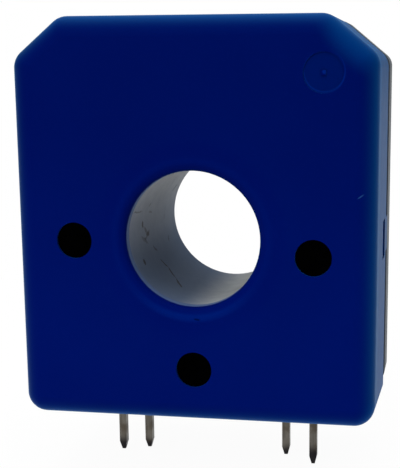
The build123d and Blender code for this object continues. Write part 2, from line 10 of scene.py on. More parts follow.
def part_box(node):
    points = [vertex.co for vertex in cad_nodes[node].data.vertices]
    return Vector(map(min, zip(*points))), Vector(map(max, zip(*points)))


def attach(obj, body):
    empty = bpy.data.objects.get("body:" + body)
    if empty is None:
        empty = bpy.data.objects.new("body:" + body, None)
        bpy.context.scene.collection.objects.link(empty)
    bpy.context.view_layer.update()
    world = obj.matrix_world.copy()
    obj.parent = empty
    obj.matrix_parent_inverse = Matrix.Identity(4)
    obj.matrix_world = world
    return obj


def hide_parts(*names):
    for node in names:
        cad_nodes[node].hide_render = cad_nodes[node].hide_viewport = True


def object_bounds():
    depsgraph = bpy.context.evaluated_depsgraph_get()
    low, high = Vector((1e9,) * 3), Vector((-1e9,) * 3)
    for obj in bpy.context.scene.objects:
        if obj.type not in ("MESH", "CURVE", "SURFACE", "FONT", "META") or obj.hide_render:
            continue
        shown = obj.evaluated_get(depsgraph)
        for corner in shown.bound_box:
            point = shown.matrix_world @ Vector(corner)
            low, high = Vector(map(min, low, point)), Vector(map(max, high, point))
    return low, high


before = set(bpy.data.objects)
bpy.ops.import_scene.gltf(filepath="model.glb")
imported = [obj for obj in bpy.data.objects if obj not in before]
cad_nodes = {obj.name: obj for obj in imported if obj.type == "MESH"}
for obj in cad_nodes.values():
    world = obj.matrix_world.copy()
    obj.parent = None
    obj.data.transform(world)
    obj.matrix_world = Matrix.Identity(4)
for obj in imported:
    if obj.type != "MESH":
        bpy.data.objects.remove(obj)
cad_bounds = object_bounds()
mm = 0.001


# Magnetic ring. A long strip of thin soft magnetic alloy, wound up tight and cut through at the top.
# Its flat sides show the edges of the many turns as fine rings round the aperture.
class Value:
    """A number, colour or vector in a node tree. Python's operators join numbers with Math nodes."""

    def __init__(self, nodes, socket):
        self.nodes = nodes
        self.socket = socket

    def joined(self, operation, first, second):
        return self.nodes.node("ShaderNodeMath", {"operation": operation}, {0: first, 1: second})

    def __add__(self, other):
        return self.joined("ADD", self, other)

    def __radd__(self, other):
        return self.joined("ADD", other, self)

    def __sub__(self, other):
        return self.joined("SUBTRACT", self, other)

    def __rsub__(self, other):
        return self.joined("SUBTRACT", other, self)

    def __mul__(self, other):
        return self.joined("MULTIPLY", self, other)

    def __rmul__(self, other):
        return self.joined("MULTIPLY", other, self)

    def __truediv__(self, other):
        return self.joined("DIVIDE", self, other)


class Nodes:
    """A node tree, of a material, of the room's light or of a shape that repeats."""

    def __init__(self, tree):
        self.tree = tree

    def node(self, kind, settings, values, output=0):
        """A node with its settings, then the values or links of its sockets."""
        made = self.tree.nodes.new(kind)
        for name, setting in settings.items():
            setattr(made, name, setting)
        for socket, value in values.items():
            if isinstance(value, Value):
                self.tree.links.new(value.socket, made.inputs[socket])
            else:
                made.inputs[socket].default_value = value
        return Value(self, made.outputs[output] if made.outputs else None)

    def parts(self, vector):
        """The three numbers of a vector."""
        split = self.node("ShaderNodeSeparateXYZ", {}, {0: vector}).socket.node
        return [Value(self, socket) for socket in split.outputs]

    def step(self, value, low, high):
        """0 below the low limit, 1 above the high one, and smooth between them."""
        return self.node(
            "ShaderNodeMapRange", {"interpolation_type": "SMOOTHSTEP"},
            {"Value": value, "From Min": low, "From Max": high},
        )


class Finish(Nodes):
    """A material with one Principled shader. What is the same all over is set on its sockets."""

    def __init__(self, name, surface):
        self.material = bpy.data.materials.new(name)
        self.material.use_nodes = True
        super().__init__(self.material.node_tree)
        self.shader = self.tree.nodes["Principled BSDF"]
        for socket, value in surface.items():
            self.shader.inputs[socket].default_value = value
        self.place = self.node("ShaderNodeTexCoord", {}, {}, "Object")

    def vary(self, socket, value):
        """Let a value drive one of the shader's sockets."""
        self.tree.links.new(value.socket, self.shader.inputs[socket])

    def grain(self, size, detail=2.0, place=None):
        """Noise from 0 to 1 whose blobs are about this large."""
        values = {"Vector": place or self.place, "Scale": 1 / size, "Detail": detail}
        return self.node("ShaderNodeTexNoise", {}, values)

    def stretched(self, factors):
        """Place with its three numbers multiplied, so that a grain on it runs in streaks."""
        return self.node("ShaderNodeVectorMath", {"operation": "MULTIPLY"}, {0: self.place, 1: factors})

    def mix(self, share, low, high):
        """Colour between two colours."""
        return self.node("ShaderNodeMix", {"data_type": "RGBA"}, {"Factor": share, 6: low, 7: high}, 2)

    def wave(self, value, pitch):
        """Wave from 0 to 1 with this pitch."""
        phase = value * (math.tau / pitch)
        return 0.5 + 0.5 * self.node("ShaderNodeMath", {"operation": "SINE"}, {0: phase})

    def mark(self, centre, half_size, turn=(0.0, 0.0, 0.0), soft=0.5, place=None):
        """1 inside an oval place and 0 outside it. The soft share of it fades out."""
        local = self.node(
            "ShaderNodeMapping", {"vector_type": "TEXTURE"},
            {"Vector": place or self.place, "Location": centre, "Rotation": turn, "Scale": half_size},
        )
        reach = self.node("ShaderNodeVectorMath", {"operation": "LENGTH"}, {0: local}, "Value")
        return 1 - self.step(reach, 1 - soft, 1.0)

    def around(self, height):
        """Distance from the aperture's axis, and the angle down from the left, to half a turn each way."""
        x, _, z = self.parts(self.place)
        drop = height - z
        reach = self.node("ShaderNodeMath", {"operation": "SQRT"}, {0: x * x + drop * drop})
        return reach, self.node("ShaderNodeMath", {"operation": "ARCTAN2"}, {0: drop, 1: x * -1})

    def bump(self, height, depth, strength=1.0):
        """Let a height from 0 to 1 raise the surface by up to this depth."""
        values = {"Height": height, "Distance": depth, "Strength": strength}
        self.vary("Normal", self.node("ShaderNodeBump", {}, values))

    def dress(self, *names):
        """Give this material to CAD nodes."""
        for name in names:
            cad_nodes[name].data.materials.clear()
            cad_nodes[name].data.materials.append(self.material)


def middle(node):
    """Middle of a CAD node's box."""
    low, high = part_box(node)
    return (Vector(low) + Vector(high)) / 2


bore_height = middle("core_lid").z
strip_turn = 0.12 * mm
strip_step = 0.03 * mm
strip_dark = (0.10, 0.10, 0.11, 1)
strip_bright = (0.34, 0.34, 0.35, 1)
alloy_strip = Finish("alloy_strip", {"Metallic": 1.0, "Roughness": 0.35})
ring_reach, _ = alloy_strip.around(bore_height)
uneven = 0.2 * strip_turn * alloy_strip.grain(3 * mm)
strip_edges = alloy_strip.wave(ring_reach + uneven, strip_turn)
alloy_strip.vary("Base Color", alloy_strip.mix(strip_edges, strip_dark, strip_bright))
alloy_strip.vary("Roughness", 0.3 + 0.25 * alloy_strip.grain(0.8 * mm))
alloy_strip.bump(strip_edges, strip_step)
alloy_strip.dress("core_ring")


# Cup and lid of the ring. Both are moulded from undyed polyester, which is off-white and a little cloudy.
# The lid closes the open side of the cup, and the cup's pegs are pushed into the circuit board.
polyester_dark = (0.56, 0.54, 0.47, 1)
polyester_pale = (0.68, 0.66, 0.60, 1)
tray_plastic = Finish("tray_plastic", {"Roughness": 0.5, "Specular IOR Level": 0.45})
tray_cloud = tray_plastic.grain(4 * mm, 3)
tray_plastic.vary("Base Color", tray_plastic.mix(tray_cloud, polyester_dark, polyester_pale))
tray_plastic.vary("Roughness", 0.42 + 0.16 * tray_plastic.grain(0.5 * mm))
tray_plastic.bump(tray_plastic.grain(0.15 * mm), 0.01 * mm, 0.5)
tray_plastic.dress("core_cup", "core_lid")


# Compensation winding. Enamelled copper wire, wound in two layers round the cup, half of it on each side.
# A wire joins the two halves at the top, and their ends run back and are soldered into the circuit board.
enamelled_copper = Finish("enamelled_copper", {
    "Metallic": 1.0,
    "Coat Weight": 0.6,
    "Coat Roughness": 0.15,
})
copper_dark = (0.50, 0.15, 0.05, 1)
copper_bright = (0.78, 0.31, 0.12, 1)
copper_cloud = enamelled_copper.grain(1.2 * mm, 3)
enamelled_copper.vary("Base Color", enamelled_copper.mix(copper_cloud, copper_dark, copper_bright))
enamelled_copper.vary("Roughness", 0.22 + 0.2 * enamelled_copper.grain(0.4 * mm))
enamelled_copper.dress("winding_link", "winding_lead_start", "winding_lead_end")

wound_wire = bpy.data.node_groups.new("wound_wire", "GeometryNodeTree")
wound_wire.interface.new_socket("Geometry", in_out="OUTPUT", socket_type="NodeSocketGeometry")
winding_inputs = {}
for name, kind in (
    ("Turns", "NodeSocketInt"),
    ("Start Angle", "NodeSocketFloat"),
    ("Sweep", "NodeSocketFloat"),
    ("Jitter", "NodeSocketFloat"),
    ("Wire Radius", "NodeSocketFloat"),
    ("Loop Width", "NodeSocketFloat"),
    ("Loop Depth", "NodeSocketFloat"),
    ("Loop Corner", "NodeSocketFloat"),
    ("Loop Place", "NodeSocketVector"),
    ("Axis Place", "NodeSocketVector"),
    ("Material", "NodeSocketMaterial"),
):
    socket = wound_wire.interface.new_socket(name, in_out="INPUT", socket_type=kind)
    winding_inputs[name] = socket.identifier
winder = Nodes(wound_wire)


def given(name):
    """Input of the winding's tree."""
    return winder.node("NodeGroupInput", {}, {}, name)


corner_steps = 3
wire_sides = 6
slip_seed = 7
loop = winder.node(
    "GeometryNodeCurvePrimitiveQuadrilateral", {"mode": "RECTANGLE"},
    {"Width": given("Loop Width"), "Height": given("Loop Depth")},
)
loop = winder.node(
    "GeometryNodeFilletCurve", {"mode": "POLY"},
    {"Curve": loop, "Radius": given("Loop Corner"), "Count": corner_steps, "Limit Radius": True},
)
wire_ring = winder.node(
    "GeometryNodeCurvePrimitiveCircle", {"mode": "RADIUS"},
    {"Resolution": wire_sides, "Radius": given("Wire Radius")},
)
turn_of_wire = winder.node("GeometryNodeCurveToMesh", {}, {"Curve": loop, "Profile Curve": wire_ring})
turn_of_wire = winder.node(
    "GeometryNodeTransform", {}, {"Geometry": turn_of_wire, "Translation": given("Loop Place")}
)
starts = winder.node("GeometryNodePoints", {}, {"Count": given("Turns"), "Position": given("Axis Place")})
index = winder.node("GeometryNodeInputIndex", {}, {})
slip = winder.node(
    "FunctionNodeRandomValue", {"data_type": "FLOAT"},
    {2: given("Jitter") * -1, 3: given("Jitter"), "Seed": slip_seed}, 1,
)
turn_angle = given("Start Angle") + (index + 0.5) * (given("Sweep") / given("Turns")) + slip
lean = winder.node("ShaderNodeCombineXYZ", {}, {"Y": turn_angle * -1})
rotation = winder.node("FunctionNodeEulerToRotation", {}, {0: lean})
turns = winder.node(
    "GeometryNodeInstanceOnPoints", {}, {"Points": starts, "Instance": turn_of_wire, "Rotation": rotation}
)
turns = winder.node("GeometryNodeRealizeInstances", {}, {"Geometry": turns})
turns = winder.node("GeometryNodeSetShadeSmooth", {}, {"Geometry": turns})
turns = winder.node("GeometryNodeSetMaterial", {}, {"Geometry": turns, "Material": given("Material")})
winder.node("NodeGroupOutput", {}, {0: turns})

wire_radius = 0.175 * mm
wires_per_layer = 62
wire_jitter = math.radians(0.15)
winding_inner = 9.1 * mm
winding_sweep = 140.0
layer_inset = 1.0
corner_bend = 1.5
cup_low, cup_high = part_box("core_lid")
cup_outer = (cup_high[0] - cup_low[0]) / 2
for name, first_angle in (("winding_left", 110.0), ("winding_right", -70.0)):
    low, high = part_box(name)
    winding_outer = max(abs(low[0]), abs(high[0]))
    winding_thickness = winding_outer - cup_outer
    winding_front, winding_back = low[1], high[1]
    both_layers = bmesh.new()
    for layer in (0, 1):
        gap = winding_thickness - wire_radius * (1 + 2 * layer)
        carrier = bpy.data.objects.new(name + "_carrier", bpy.data.meshes.new(name + "_carrier"))
        bpy.context.scene.collection.objects.link(carrier)
        maker = carrier.modifiers.new("wound_wire", "NODES")
        maker.node_group = wound_wire
        settings = {
            "Turns": wires_per_layer,
            "Start Angle": math.radians(first_angle + layer_inset * layer),
            "Sweep": math.radians(winding_sweep - 2 * layer_inset * layer),
            "Jitter": wire_jitter,
            "Wire Radius": wire_radius,
            "Loop Width": winding_outer - winding_inner - 2 * gap,
            "Loop Depth": winding_back - winding_front - 2 * gap,
            "Loop Corner": wire_radius * (corner_bend + 2 * layer),
            "Loop Place": (
                (winding_outer + winding_inner) / 2, (winding_front + winding_back) / 2, 0.0,
            ),
            "Axis Place": (0.0, 0.0, bore_height),
            "Material": enamelled_copper.material,
        }
        for setting, value in settings.items():
            maker[winding_inputs[setting]] = value
        graph = bpy.context.evaluated_depsgraph_get()
        layer_mesh = bpy.data.meshes.new_from_object(carrier.evaluated_get(graph))
        both_layers.from_mesh(layer_mesh)
        bpy.data.objects.remove(carrier)
    coil_mesh = bpy.data.meshes.new(name + "_wire")
    both_layers.to_mesh(coil_mesh)
    both_layers.free()
    coil_mesh.materials.append(enamelled_copper.material)
    coil = bpy.data.objects.new(name + "_wire", coil_mesh)
    bpy.context.scene.collection.objects.link(coil)
    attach(coil, "root")
    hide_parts(name)


# Circuit board. Glass laminate with copper tracks on both sides under green lacquer, and bare sawn edges.
# It stands upright across the case, clamped between the posts of the two shells.
# It carries the ring on its front and the small parts on its back.
track_pitch = 1.27 * mm
track_edge = (0.62, 0.7)
track_depth = 0.035 * mm
face_margin = 0.05 * mm
lacquer_dark = (0.006, 0.075, 0.032, 1)
lacquer_over_copper = (0.016, 0.16, 0.06, 1)
laminate_dark = (0.30, 0.26, 0.12, 1)
laminate_pale = (0.42, 0.37, 0.20, 1)
green_board = Finish("green_board", {"Roughness": 0.3, "Specular IOR Level": 0.5})
board_low, board_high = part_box("circuit_board")
board_x, board_y, board_z = green_board.parts(green_board.place)
upright = green_board.step(green_board.wave(board_x, track_pitch), *track_edge)
level = green_board.step(green_board.wave(board_z, track_pitch), *track_edge)
zones = green_board.step(green_board.grain(5 * mm, 0), 0.47, 0.53)
tracks = upright * zones + level * (1 - zones)
lacquer = green_board.mix(tracks, lacquer_dark, lacquer_over_copper)
on_front = 1 - green_board.step(board_y, board_low[1] + face_margin, board_low[1] + 2 * face_margin)
on_back = green_board.step(board_y, board_high[1] - 2 * face_margin, board_high[1] - face_margin)
lacquered = on_front + on_back
weave = green_board.grain(0.3 * mm, 1)
laminate = green_board.mix(weave, laminate_dark, laminate_pale)
green_board.vary("Base Color", green_board.mix(lacquered, laminate, lacquer))
green_board.vary("Roughness", 0.65 - 0.4 * lacquered)
green_board.bump(tracks, track_depth)
green_board.dress("circuit_board")


# Chips. Black epoxy, moulded round the die and its lead frame, with a satin top. The long one is the
# amplifier, with a dimple by its first lead. The upright one measures the field in the ring's gap.
# The four others drive and protect the output.
dimple_inset = 0.7 * mm
dimple_radius = 0.35 * mm
epoxy_black = (0.010, 0.010, 0.011, 1)
epoxy_grey = (0.024, 0.024, 0.025, 1)
chip_epoxy = Finish("chip_epoxy", {"Roughness": 0.55, "Specular IOR Level": 0.4})
amplifier_low, amplifier_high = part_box("amplifier_chip")
dimple_place = (amplifier_low[0] + dimple_inset, amplifier_high[1], amplifier_low[2] + dimple_inset)
dimple = chip_epoxy.mark(dimple_place, (dimple_radius, dimple_radius, dimple_radius), soft=0.2)
filler = chip_epoxy.grain(0.09 * mm)
chip_epoxy.vary("Base Color", chip_epoxy.mix(filler, epoxy_black, epoxy_grey))
chip_epoxy.vary("Roughness", 0.62 - 0.3 * dimple)
chip_epoxy.bump(0.2 * filler - dimple, 0.05 * mm)
chip_epoxy.dress(
    "amplifier_chip", "field_sensor_chip", "driver_transistor_left", "driver_transistor_right",
    "clamp_diode_left", "clamp_diode_right",
)


# Leads and end caps of the parts on the board. Copper strip, stamped and bent, with a dull coat of tin.
# They end on the board or go through it, and are soldered there.
tin_dark = (0.50, 0.50, 0.49, 1)
tin_bright = (0.68, 0.68, 0.66, 1)
lead_tin = Finish("lead_tin", {"Metallic": 1.0, "Roughness": 0.4})
tin_cloud = lead_tin.grain(0.3 * mm, 3)
lead_tin.vary("Base Color", lead_tin.mix(tin_cloud, tin_dark, tin_bright))
lead_tin.vary("Roughness", 0.3 + 0.2 * tin_cloud)
lead_tin.dress(
    "amplifier_leads", "field_sensor_leads", "driver_leads_left", "driver_leads_right",
    "capacitor_terminals", "diode_terminals",
)


# Supply capacitors. Tantalum pellets moulded into blocks of yellow epoxy, one for each supply rail.
# A darker band is printed across the positive end.
band_height = 1.1 * mm
yellow_dark = (0.66, 0.33, 0.035, 1)
yellow_pale = (0.78, 0.43, 0.06, 1)
band_brown = (0.30, 0.10, 0.015, 1)
yellow_epoxy = Finish("yellow_epoxy", {"Roughness": 0.45})
capacitor_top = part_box("supply_capacitor_left")[1][2]
band_bottom = capacitor_top - band_height
capacitor_z = yellow_epoxy.parts(yellow_epoxy.place)[2]
band = yellow_epoxy.step(capacitor_z, band_bottom, band_bottom + face_margin)
epoxy_cloud = yellow_epoxy.grain(0.5 * mm)
plain_epoxy = yellow_epoxy.mix(epoxy_cloud, yellow_dark, yellow_pale)
yellow_epoxy.vary("Base Color", yellow_epoxy.mix(band, plain_epoxy, band_brown))
yellow_epoxy.bump(epoxy_cloud, 0.01 * mm, 0.5)
yellow_epoxy.dress("supply_capacitor_left", "supply_capacitor_right")


# Small chip parts. The capacitors are sawn from a stack of tan ceramic, and the resistors are slips of
# ceramic with a black glaze. All have tinned ends, which are soldered flat to the board.
def small_part(name, rows, half_body, body_colours, node):
    """Finish of small blocks that stand in rows: a body between two tinned ends."""
    finish = Finish(name, {"Specular IOR Level": 0.5})
    z = finish.parts(finish.place)[2]
    body = 0.0
    for row in rows:
        off = finish.node("ShaderNodeMath", {"operation": "ABSOLUTE"}, {0: z - row})
        body = body + (1 - finish.step(off, half_body, half_body + face_margin))
    cloud = finish.grain(0.25 * mm)
    finish.vary("Base Color", finish.mix(body, end_tin, finish.mix(cloud, *body_colours)))
    finish.vary("Metallic", 1 - body)
    finish.vary("Roughness", 0.35 + 0.2 * cloud)
    finish.dress(node)


end_tin = (0.62, 0.62, 0.60, 1)
tinned_end = 0.4 * mm
ceramic_tans = (0.34, 0.22, 0.11, 1), (0.48, 0.33, 0.18, 1)
ceramic_low, ceramic_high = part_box("ceramic_capacitors")
ceramic_half = (ceramic_high[2] - ceramic_low[2]) / 2
ceramic_rows = [(ceramic_low[2] + ceramic_high[2]) / 2]
small_part("tan_ceramic", ceramic_rows, ceramic_half - tinned_end, ceramic_tans, "ceramic_capacitors")
glaze_blacks = (0.018, 0.018, 0.022, 1), (0.035, 0.035, 0.04, 1)
resistor_half = 1.0 * mm
resistor_low, resistor_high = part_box("chip_resistors")
resistor_rows = [resistor_low[2] + resistor_half, resistor_high[2] - resistor_half]
small_part("glazed_resistor", resistor_rows, resistor_half - tinned_end, glaze_blacks, "chip_resistors")


# Solder. Tin alloy that wets the pins, the leads and the wire ends where they meet the board.
# It sets with a smooth, slightly wavy skin.
solder_dark = (0.55, 0.55, 0.54, 1)
solder_bright = (0.70, 0.70, 0.68, 1)
solder_skin = Finish("solder_skin", {"Metallic": 1.0, "Roughness": 0.22})
solder_wave = solder_skin.grain(0.5 * mm, 1)
solder_skin.vary("Base Color", solder_skin.mix(solder_wave, solder_dark, solder_bright))
solder_skin.vary("Roughness", 0.16 + 0.2 * solder_skin.grain(0.2 * mm))
solder_skin.bump(solder_wave, 0.06 * mm)
solder_skin.dress("lead_solder", "pin_solder_1", "pin_solder_2", "pin_solder_3", "pin_solder_4")


# Film ring. Amber polyimide film, punched out flat, with windows where the resin passes.
# It lies between the winding and the front shell and insulates one from the other.
amber_dark = (0.42, 0.19, 0.02, 1)
amber_pale = (0.58, 0.31, 0.05, 1)
amber_film = Finish("amber_film", {"Roughness": 0.2, "Coat Weight": 0.3})
film_ripple = amber_film.grain(3 * mm)
amber_film.vary("Base Color", amber_film.mix(film_ripple, amber_dark, amber_pale))
amber_film.bump(film_ripple, 0.05 * mm)
amber_film.dress("insulating_disc")


# Front shell. Blue nylon, moulded in one piece with soft edges round the face and a lip round the aperture.
# It is satin, with painted highlights on its edges and round the lip, and painted shade that deepens
# towards the top.
# Handling has left a short pale scratch near the right edge and a dark nick below the aperture.
low_blue_dark = (0.0, 0.0028, 0.076, 1)
low_blue_pale = (0.0, 0.0038, 0.087, 1)
top_shade_blue = (0.0, 0.0, 0.022, 1)
side_highlight_blue = (0.0, 0.037, 0.145, 1)
left_highlight_blue = (0.0, 0.034, 0.115, 1)
lower_highlight_blue = (0.0, 0.06, 0.23, 1)
upper_highlight_blue = (0.0, 0.044, 0.175, 1)
rubbed_blue = (0.0, 0.03, 0.14, 1)
lip_highlight_blue = (0.09, 0.14, 0.26, 1)
lip_band_highlight_blue = (0.0, 0.016, 0.17, 1)
gate_blue = (0.0, 0.02, 0.2, 1)
scratch_blue = (0.05, 0.18, 0.42, 1)
nick_blue = (0.0, 0.001, 0.025, 1)
shade_upwards = (4 * mm, 36 * mm)
rounding = (-0.1 * mm, 1.7 * mm)
clear_of_lip = (9 * mm, 10 * mm)
fading_backwards = (2 * mm, 6 * mm)
from_left = (-16.5 * mm, -13 * mm)
from_below = (0.5 * mm, 3 * mm)
to_top = (37 * mm, 39.5 * mm)
blue_nylon = Finish("blue_nylon", {
    "Roughness": 0.4,
    "Specular IOR Level": 0.015,
    "Specular Tint": (0.0, 0.25, 0.9, 1),
    "Sheen Weight": 0.15,
    "Sheen Roughness": 0.3,
    "Sheen Tint": (0.0, 0.4, 1.0, 1),
})
shell_x, shell_y, shell_z = blue_nylon.parts(blue_nylon.place)
lip_reach, lip_angle = blue_nylon.around(bore_height)
blue = blue_nylon.mix(blue_nylon.grain(9 * mm, 2), low_blue_dark, low_blue_pale)
# Painted shade, deepening the blue towards the top
blue = blue_nylon.mix(0.3 * blue_nylon.step(shell_z, *shade_upwards), blue, top_shade_blue)

# Painted highlight on the rounded edges of the face, set side by side; it fades out along the sides and
# stops short of the lip
face_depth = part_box("front_shell")[0][1]
behind_face = shell_y - face_depth
edge_highlight = blue_nylon.step(behind_face, *rounding) * blue_nylon.step(lip_reach, *clear_of_lip)
edge_highlight = edge_highlight * (1 - 0.7 * blue_nylon.step(behind_face, *fading_backwards))
left_side = 1 - blue_nylon.step(shell_x, *from_left)
lower_side = 1 - blue_nylon.step(shell_z, *from_below)
upper_side = blue_nylon.step(shell_z, *to_top)
edge_highlight_blue = blue_nylon.mix(left_side, side_highlight_blue, left_highlight_blue)
edge_highlight_blue = blue_nylon.mix(lower_side, edge_highlight_blue, lower_highlight_blue)
edge_highlight_blue = blue_nylon.mix(upper_side, edge_highlight_blue, upper_highlight_blue)
blue = blue_nylon.mix(edge_highlight, blue, edge_highlight_blue)

# The upper right corner, rubbed by handling
rubbed_place = (15.6 * mm, face_depth, 37.6 * mm)
rubbed_size = (5.5 * mm, 5 * mm, 2.6 * mm)
rubbed_turn = (0.0, math.radians(45), 0.0)
rubbed_corner = blue_nylon.mark(rubbed_place, rubbed_size, rubbed_turn, soft=0.9)
blue = blue_nylon.mix(0.55 * rubbed_corner, blue, rubbed_blue)

# The lip, with a painted highlight along its inner edge and a painted highlight band where it bends,
# strongest below
highlight_edge_reach = (6.705 * mm, 6.73 * mm)
band_inner = (7.2 * mm, 7.6 * mm)
band_outer = (7.8 * mm, 8.3 * mm)
lip_edge_highlight = 1 - blue_nylon.step(lip_reach, *highlight_edge_reach)
blue = blue_nylon.mix(0.6 * lip_edge_highlight, blue, lip_highlight_blue)
lip_highlight_band = blue_nylon.step(lip_reach, *band_inner) - blue_nylon.step(lip_reach, *band_outer)
lip_below_from = blue_nylon.step(lip_angle, math.radians(30), math.radians(80))
lip_below_to = blue_nylon.step(lip_angle, math.radians(100), math.radians(150))
lip_below = lip_below_from - lip_below_to
blue = blue_nylon.mix(0.22 * lip_highlight_band * (0.2 + lip_below), blue, lip_band_highlight_blue)

# The mark of the moulding gate: a dot in a ring that is thinner at the top
gate_x, gate_z = 12.94 * mm, 34.58 * mm
gate_crescent = 0.1 * mm
dot_radius, outer_radius, inner_radius = 0.25 * mm, 2.05 * mm, 1.95 * mm
ring_soft = 0.07
gate_place = (gate_x, face_depth, gate_z)
inner_place = (gate_x, face_depth, gate_z + gate_crescent)
gate_dot = blue_nylon.mark(gate_place, (dot_radius,) * 3)
outer_ring = blue_nylon.mark(gate_place, (outer_radius,) * 3, soft=ring_soft)
inner_ring = blue_nylon.mark(inner_place, (inner_radius,) * 3, soft=ring_soft)
blue = blue_nylon.mix(0.35 * gate_dot + 0.3 * (outer_ring - inner_ring), blue, gate_blue)

# The scratch and the nick, with their leans in radians
scratch_place = (16.5 * mm, face_depth, 23.05 * mm)
scratch_size = (0.5 * mm, 0.3 * mm, 0.09 * mm)
scratch_lean = -0.6
pale_scratch = blue_nylon.mark(scratch_place, scratch_size, (0.0, scratch_lean, 0.0))
blue = blue_nylon.mix(0.15 * pale_scratch, blue, scratch_blue)
nick_place = (0.5 * mm, face_depth, 10.65 * mm)
nick_size = (0.4 * mm, 0.3 * mm, 0.14 * mm)
nick_lean = 0.15
dark_nick = blue_nylon.mark(nick_place, nick_size, (0.0, nick_lean, 0.0))
blue = blue_nylon.mix(0.7 * dark_nick, blue, nick_blue)

blue_nylon.vary("Base Color", blue)
blue_nylon.vary("Roughness", 0.36 + 0.1 * blue_nylon.grain(1.5 * mm))
moulded_skin = blue_nylon.grain(0.25 * mm) - 2 * dark_nick + pale_scratch
blue_nylon.bump(moulded_skin, 0.012 * mm, 0.5)
blue_nylon.dress("front_shell")


# Pins. Square brass wire with a dull coat of tin, cut to length, with darker tapered tips.
# Drawing has left streaks along them, and the flux of the soldering some brown stains.
streak_dark = (0.03, 0.028, 0.024, 1)
streak_bright = (0.20, 0.185, 0.16, 1)
flux_brown = (0.075, 0.055, 0.035, 1)
tip_black = (0.006, 0.006, 0.009, 1)
pin_tin = Finish("pin_tin", {"Metallic": 1.0, "Roughness": 0.35})
pin_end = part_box("pin_1")[0][2]
tip_length = 1.3 * mm
draw_streaks = pin_tin.grain(0.25 * mm, 3, pin_tin.stretched((1.0, 1.0, 0.12)))
flux_stain = pin_tin.step(pin_tin.grain(1.3 * mm, 2), 0.45, 0.7)
pin_z = pin_tin.parts(pin_tin.place)[2]
tip = 1 - pin_tin.step(pin_z, pin_end + 0.5 * tip_length, pin_end + 1.5 * tip_length)
tin = pin_tin.mix(draw_streaks, streak_dark, streak_bright)
tin = pin_tin.mix(0.5 * flux_stain, tin, flux_brown)
pin_tin.vary("Base Color", pin_tin.mix(0.9 * tip, tin, tip_black))
pin_tin.vary("Roughness", 0.28 + 0.2 * draw_streaks + 0.2 * flux_stain)
pin_tin.bump(draw_streaks, 0.02 * mm)
pin_tin.dress("pin_1", "pin_2", "pin_3", "pin_4")


# Rear shell. Grey glass-filled nylon, moulded in one piece: back wall, spigot, latch arms and the tube
# whose wall shows in the aperture. Conductors drawn through the tube have scuffed it. Painted shade
# darkens the tube's left wall and the groove between the shells.
grey_dark = (0.26, 0.28, 0.30, 1)
grey_pale = (0.44, 0.46, 0.47, 1)
outside_grey = (0.03, 0.045, 0.06, 1)
tube_shade_grey = (0.06, 0.10, 0.18, 1)
groove_shade_black = (0.004, 0.012, 0.04, 1)
scuff_black = (0.012, 0.014, 0.018, 1)
tube_radius = 7.2 * mm
waver = 0.5 * mm
grey_nylon = Finish("grey_nylon", {"Roughness": 0.45, "Specular IOR Level": 0.03})
tube_reach, tube_angle = grey_nylon.around(bore_height)
tube_y = grey_nylon.parts(grey_nylon.place)[1]
ragged = grey_nylon.grain(0.7 * mm, 3)
across = tube_angle * tube_radius + waver * (ragged - 0.5)
along = tube_y + waver * (grey_nylon.grain(0.9 * mm, 2) - 0.5)
wall = grey_nylon.node("ShaderNodeCombineXYZ", {}, {"X": across, "Y": along, "Z": 0.0})
in_tube = 1 - grey_nylon.step(tube_reach, tube_radius + 0.1 * mm, tube_radius + 0.3 * mm)

# The scuffs. Angles and leans are in degrees, depths and half sizes in millimetres
scuff_soft = 0.6
scuffs = 0.0
for turn_at, depth, half_length, half_width, lean_angle, strength in (
    (36.6, 0.17, 0.85, 0.2, 26, 1.6),
    (47.4, 0.02, 1.15, 0.2, -31, 1.6),
    (58.8, -1.4, 1.4, 0.2, -55, 1.6),
    (27.1, -5.13, 0.5, 0.4, -37, 1.6),
    (4.4, -1.56, 1.5, 0.4, 58, 0.8),
    (7.6, -1.28, 1.5, 0.35, -71, 0.8),
    (11.0, -2.56, 1.4, 0.35, 61, 0.7),
    (-2.7, -2.88, 0.55, 0.4, 36, 1.2),
    (19.6, 6.03, 0.7, 0.16, -40, 1.0),
    (-1.0, 5.83, 0.5, 0.16, -1, 0.8),
    (22.0, 0.12, 0.7, 0.3, 52, 0.8),
    (-15.6, -5.4, 2.6, 0.14, 86, 0.7),
    (-25.7, 8.2, 1.1, 0.14, 121, 1.0),
    (-22.4, 9.9, 0.7, 0.14, 152, 0.8),
    (-18.2, -1.06, 0.4, 0.2, 120, 0.8),
    (-11.0, -0.12, 1.2, 0.14, 80, 0.7),
):
    place = (math.radians(turn_at) * tube_radius, depth * mm, 0.0)
    half_size = (half_length * mm, half_width * mm, 1.0)
    turn = (0.0, 0.0, math.radians(lean_angle))
    scuffs = scuffs + strength * grey_nylon.mark(place, half_size, turn, scuff_soft, wall)
scuffs = in_tube * grey_nylon.step(scuffs * (0.4 + 1.2 * ragged), 0.1, 1.2)

# The tube, with painted shade on its left wall, and the outside, with painted shade in the groove
grey = grey_nylon.mix(grey_nylon.grain(1.6 * mm, 6), grey_dark, grey_pale)
grey = grey_nylon.mix(0.75 * (1 - in_tube), grey, outside_grey)
shade_from = grey_nylon.step(tube_angle, math.radians(-70), math.radians(40))
shade_to = grey_nylon.step(tube_angle, math.radians(68), math.radians(106))
tube_shade = in_tube * (shade_from - shade_to)
grey = grey_nylon.mix(0.95 * tube_shade, grey, tube_shade_grey)
